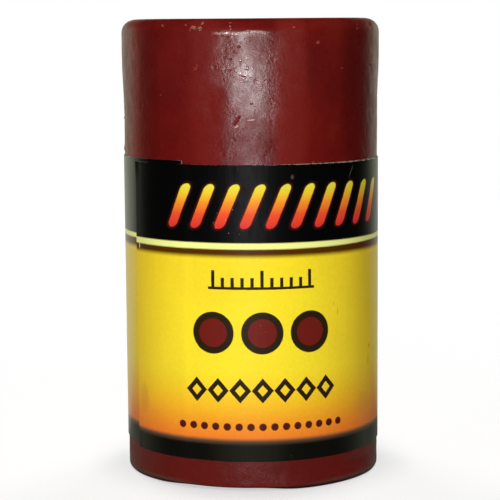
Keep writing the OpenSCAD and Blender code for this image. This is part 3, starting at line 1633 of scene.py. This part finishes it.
@dataclass
class Studio:
    """A white floor and surround, a soft key lamp by the camera, and cards round the stick.

    The cards show only in the stick's gloss: pale behind it, and dark at its sides, in front
    and overhead.
    """

    floor_radius: float = 4.0
    floor_white: Colour = (0.94, 0.94, 0.94, 1.0)
    floor_bounce: Colour = (0.10, 0.10, 0.10, 1.0)
    glow: float = 0.55
    fade_start: float = 0.04
    fade_end: float = 0.34
    surround: float = 1.0
    ambient: float = 0.03
    card_radius: float = 0.75
    card_height: float = 0.80
    card_tint: Colour = (0.98, 1.0, 0.78, 1.0)
    card_pale: float = 0.72
    card_dark: float = 0.006
    card_foot: float = 0.22
    card_top: Pair = (0.36, 0.15)
    card_left: Pair = (-68.0, -46.0)
    card_right: Pair = (58.0, 32.0)
    card_gap: float = 0.0001
    card_sides: int = 72
    floor_sides: int = 96
    foot_reach: Pair = (0.075, 0.02)
    foot_height: Pair = (0.01, 0.005)
    lamps: Tuple[SoftBox, ...] = (
        SoftBox("key_box", (-0.0183, -0.3495, 0.020), (0.0, 0.0, 0.034), 0.130, 0.036, 73.0, Seen.IN_GLOSS),
        SoftBox("left_fill", (-0.693, -0.40, 0.20), (0.0, 0.0, 0.02), 0.4, 0.4, 1.6, Seen.AS_LIGHT),
        SoftBox("top_box", (0.0, 0.0, 2.0), (0.0, 0.0, 0.0), 0.35, 0.35, 58.0, Seen.AS_LIGHT),
        SoftBox("back_left", (-0.47, 0.81, 0.36), (0.0, 0.0, 0.02), 0.5, 0.5, 6.9, Seen.AS_LIGHT),
        SoftBox("back_right", (0.47, 0.81, 0.36), (0.0, 0.0, 0.02), 0.5, 0.5, 6.9, Seen.AS_LIGHT),
    )

    def floor(self) -> bpy.types.Object:
        """Lays the floor: white where it is seen, with the stick's shadow, but dim as a mirror of light.

        Returns:
            Its object.
        """
        start_fresh()
        bpy.ops.mesh.primitive_circle_add(
            vertices=self.floor_sides, radius=self.floor_radius, fill_type="NGON", location=(0.0, 0.0, 0.0)
        )
        floor = bpy.context.object
        floor.name = "floor"
        made, tree = new_material("pale_floor")
        x, y, _ = tree.split(tree.point())
        shown = self.shown(tree)
        colour = tree.mix(shown, self.floor_bounce, self.floor_white)
        matt = tree.wire(tree.node("ShaderNodeBsdfDiffuse", inputs={"Color": colour}))
        away = tree.rise(tree.length(x, y), self.fade_start, self.fade_end)
        far = tree.maths("MAXIMUM", away, self.glow) * shown
        tree.finish(tree.blend(far, matt, tree.emission(WHITE, self.surround)))
        floor.data.materials.append(made)
        return floor

    def cards(self) -> bpy.types.Object:
        """Stands cards round, over and under the stick that show only in its gloss.

        Returns:
            Their object.
        """
        start_fresh()
        bpy.ops.mesh.primitive_cylinder_add(
            vertices=self.card_sides,
            radius=self.card_radius,
            depth=self.card_height,
            end_fill_type="NGON",
            location=(0.0, 0.0, self.card_height / 2.0 + self.card_gap),
        )
        cards = bpy.context.object
        cards.name = "gloss_cards"
        settle(cards)
        made, tree = new_material("gloss_card")
        x, y, z = tree.split(tree.point())
        from_back = tree.maths("ARCTAN2", x, y)
        left = tree.rise(from_back, *(math.radians(angle) for angle in self.card_left))
        right = tree.rise(from_back, *(math.radians(angle) for angle in self.card_right))
        behind = left * right * tree.rise(z, *self.card_top) * self.card_pale
        foot = tree.rise(tree.length(x, y), *self.foot_reach) * tree.rise(z, *self.foot_height)
        glow = tree.maths("MAXIMUM", behind, foot * self.card_foot + self.card_dark)
        tree.finish(tree.emission(self.card_tint, glow))
        cards.data.materials.append(made)
        cards.visible_camera = False
        cards.visible_diffuse = False
        cards.visible_transmission = False
        cards.visible_shadow = False
        return cards

    @staticmethod
    def shown(tree: Tree) -> Wire:
        """1 for a ray that shows the surround itself: from the camera, or by gloss or glass."""
        rays = tree.node("ShaderNodeLightPath")
        straight = tree.wire(rays, "Is Camera Ray")
        glossy = tree.wire(rays, "Is Glossy Ray")
        through = tree.wire(rays, "Is Transmission Ray")
        return tree.maths("MINIMUM", straight + glossy + through, 1.0)

    def world(self) -> None:
        """Makes the white surround, which lights the stick only softly."""
        world = bpy.data.worlds.new("white_surround")
        bpy.context.scene.world = world
        tree = Tree(world)
        strength = self.shown(tree) * (self.surround - self.ambient) + self.ambient
        back = tree.node("ShaderNodeBackground", inputs={"Color": WHITE, "Strength": strength})
        tree.node("ShaderNodeOutputWorld", inputs={"Surface": tree.wire(back)})

    def build(self) -> None:
        """Lays the floor, hangs the lamps and cards and sets the camera."""
        self.floor()
        self.cards()
        self.world()
        for lamp in self.lamps:
            lamp.build()
        PhotoCamera().build()
        bpy.context.scene.view_settings.view_transform = "Standard"


def main() -> None:
    """Builds the stick piece by piece in its studio."""
    logging.basicConfig(level=logging.INFO, format="%(message)s")
    Studio().build()
    wax = WaxStick()
    pieces = [wax.build(), WaxCrumbs(wax).build(), WrappedLabel().build(), dress_adhesive()]
    for piece in pieces:
        LOG.info("%s: %d faces", piece.name, len(piece.data.polygons))


if __name__ == "__main__":
    main()
